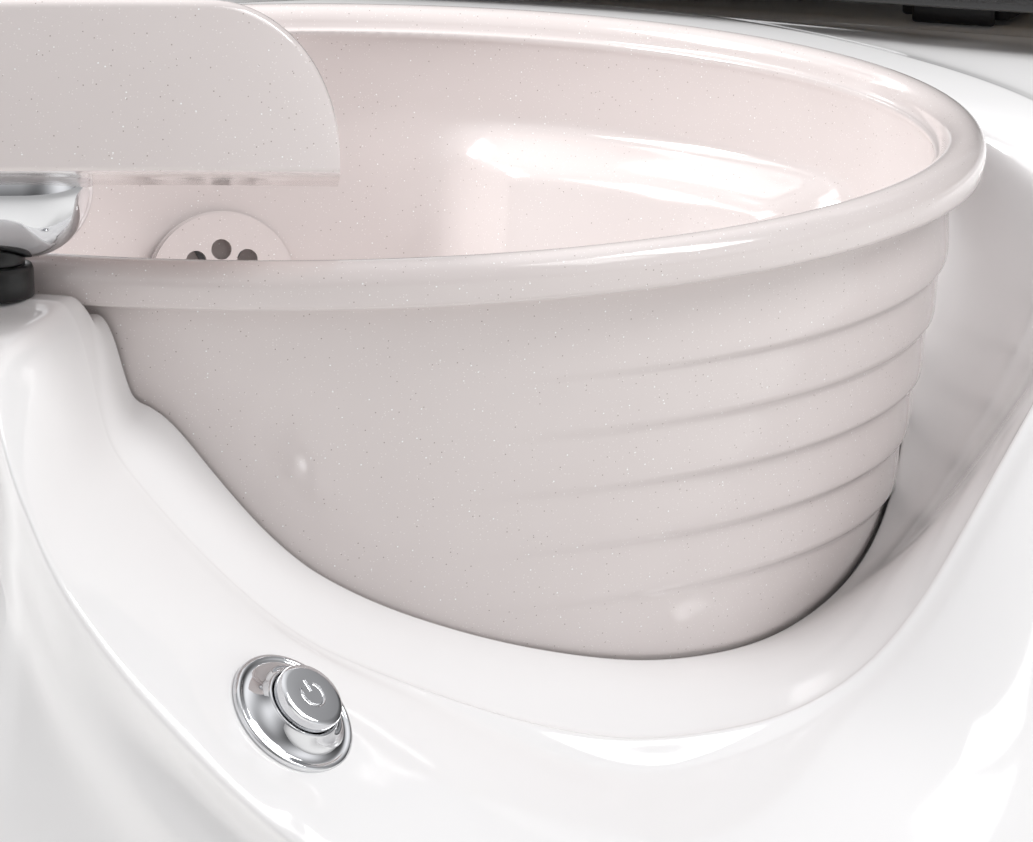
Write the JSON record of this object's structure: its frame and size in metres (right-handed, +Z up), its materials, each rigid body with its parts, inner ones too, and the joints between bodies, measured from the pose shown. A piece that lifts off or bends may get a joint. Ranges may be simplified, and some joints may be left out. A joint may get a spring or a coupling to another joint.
{
  "type": "pedicure spa chair",
  "caption": "Pedicure spa chair with a round foot bowl in a moulded tub, a swivelling footrest, and a sliding, reclining padded seat with lifting arms and trays.",
  "frame": {"origin": "centre of the chair's plan box at floor level", "axes": "+Z up, the bowl and footrest face -Y, +X is the side with the push switch"},
  "size_m": [0.97, 1.4316, 1.3336],
  "materials": {
    "white_gelcoat": "high gloss white moulded fibreglass",
    "sparkle_gelcoat": "high gloss pearl grey gelcoat with fine glitter",
    "chrome": "polished chrome plate",
    "steel": "satin black powder coat",
    "frame_tube": "satin black powder coat on tube",
    "leather": "glossy black upholstery leather",
    "black_plastic": "black moulded plastic",
    "grey_plastic": "grey moulded plastic",
    "rubber": "soft grey seal",
    "plywood": "plain birch plywood"
  },
  "bodies": {
    "base": {"base_shell": "white_gelcoat", "pedestal_shell": "white_gelcoat", "base_frame": "frame_tube", "leveling_feet": "black_plastic", "bowl": "sparkle_gelcoat", "bowl_gasket": "rubber", "drain_flange": "chrome", "drain_trap": "grey_plastic", "jet_housing": "sparkle_gelcoat", "jet_cap": "sparkle_gelcoat", "jet_motor": "black_plastic", "faucet_body": "chrome", "faucet_spout": "chrome", "switch_escutcheon": "chrome", "switch_body": "black_plastic", "footrest_bush": "frame_tube", "footrest_collar": "black_plastic", "seat_rails": "steel", "door_hinge_pins": "chrome", "power_inlet": "black_plastic"},
    "drain_stopper": {"drain_stopper": "chrome"},
    "jet_impeller": {"jet_impeller": "grey_plastic"},
    "faucet_lever": {"faucet_lever": "chrome"},
    "switch_knob": {"switch_knob": "chrome"},
    "footrest_post": {"footrest_post": "chrome", "footrest_clamp": "black_plastic"},
    "footrest_swivel": {"footrest_barrel": "chrome"},
    "footrest": {"footrest_bracket": "steel", "footrest_screws": "steel", "footrest_shell": "sparkle_gelcoat"},
    "seat": {"seat_carriage": "frame_tube", "side_plates": "steel", "seat_pan": "plywood", "seat_cushion": "leather", "seat_valance": "leather", "arm_pins": "chrome"},
    "recline_lever": {"recline_lever": "black_plastic"},
    "backrest": {"backrest_frame": "frame_tube", "backrest_pins": "chrome", "backrest_panel": "leather", "backrest_cushion": "leather"},
    "headrest": {"headrest_posts": "chrome", "headrest_cushion": "leather"},
    "arm_left": {"arm_left": "frame_tube", "arm_pad_left": "leather"},
    "arm_right": {"arm_right": "frame_tube", "arm_pad_right": "leather"},
    "tray_left": {"tray_bracket_left": "chrome", "tray_left": "white_gelcoat"},
    "tray_right": {"tray_bracket_right": "chrome", "tray_right": "white_gelcoat"},
    "service_door": {"service_door": "white_gelcoat"},
    "door_latch": {"door_latch": "chrome"}
  },
  "joints": [
    {"name": "stopper_lift", "type": "slide", "parent": "base", "child": "drain_stopper", "axis": [0, 0, 1], "range_m": [0, 0.012]},
    {"name": "impeller_spin", "type": "hinge", "parent": "base", "child": "jet_impeller", "pos_m": [-0.1201, -0.10398, 0.285], "axis": [0.4872, -0.8438, 0.2249], "continuous": true},
    {"name": "faucet_turn", "type": "hinge", "parent": "base", "child": "faucet_lever", "pos_m": [-0.306, -0.108, 0.475], "axis": [0, 0, 1], "range_deg": [-45, 45]},
    {"name": "switch_push", "type": "slide", "parent": "base", "child": "switch_knob", "axis": [-0.6831, 0.2405, -0.6896], "range_m": [0, 0.003], "stiffness_N_per_m": 600, "springref_m": -0.003},
    {"name": "footrest_lift", "type": "slide", "parent": "base", "child": "footrest_post", "axis": [0, 0, 1], "range_m": [0, 0.06]},
    {"name": "footrest_swivel", "type": "hinge", "parent": "footrest_post", "child": "footrest_swivel", "pos_m": [0, -0.61, 0.405], "axis": [0, 0, 1], "range_deg": [-67, 23]},
    {"name": "footrest_tilt", "type": "hinge", "parent": "footrest_swivel", "child": "footrest", "pos_m": [0, -0.61, 0.434], "axis": [0.9272, 0.3746, 0], "range_deg": [0, 44]},
    {"name": "seat_slide", "type": "slide", "parent": "base", "child": "seat", "axis": [0, 1, 0], "range_m": [0, 0.15]},
    {"name": "recline_release", "type": "hinge", "parent": "seat", "child": "recline_lever", "pos_m": [0.266, 0.488, 0.47], "axis": [-1, 0, 0], "range_deg": [0, 25], "stiffness_Nm_per_rad": 2, "springref_deg": -28.65},
    {"name": "recline", "type": "hinge", "parent": "seat", "child": "backrest", "pos_m": [0, 0.533, 0.5], "axis": [-1, 0, 0], "range_deg": [0, 40]},
    {"name": "headrest_lift", "type": "slide", "parent": "backrest", "child": "headrest", "axis": [0, 0.2079, 0.9781], "range_m": [0, 0.06]},
    {"name": "arm_lift_left", "type": "hinge", "parent": "seat", "child": "arm_left", "pos_m": [-0.32, 0.423, 0.69], "axis": [-1, 0, 0], "range_deg": [0, 95]},
    {"name": "arm_lift_right", "type": "hinge", "parent": "seat", "child": "arm_right", "pos_m": [0.32, 0.423, 0.69], "axis": [-1, 0, 0], "range_deg": [0, 95]},
    {"name": "tray_swivel_left", "type": "hinge", "parent": "arm_left", "child": "tray_left", "pos_m": [-0.32, 0.063, 0.7], "axis": [0, 0, 1], "range_deg": [0, 150]},
    {"name": "tray_swivel_right", "type": "hinge", "parent": "arm_right", "child": "tray_right", "pos_m": [0.32, 0.063, 0.7], "axis": [0, 0, 1], "range_deg": [-150, 0]},
    {"name": "service_door_hinge", "type": "hinge", "parent": "base", "child": "service_door", "pos_m": [-0.146, 0.543, 0.195], "axis": [0, 0, 1], "range_deg": [0, 110]},
    {"name": "latch_turn", "type": "hinge", "parent": "service_door", "child": "door_latch", "pos_m": [0.12, 0.538, 0.195], "axis": [0, 1, 0], "range_deg": [-90, 0]}
  ]
}
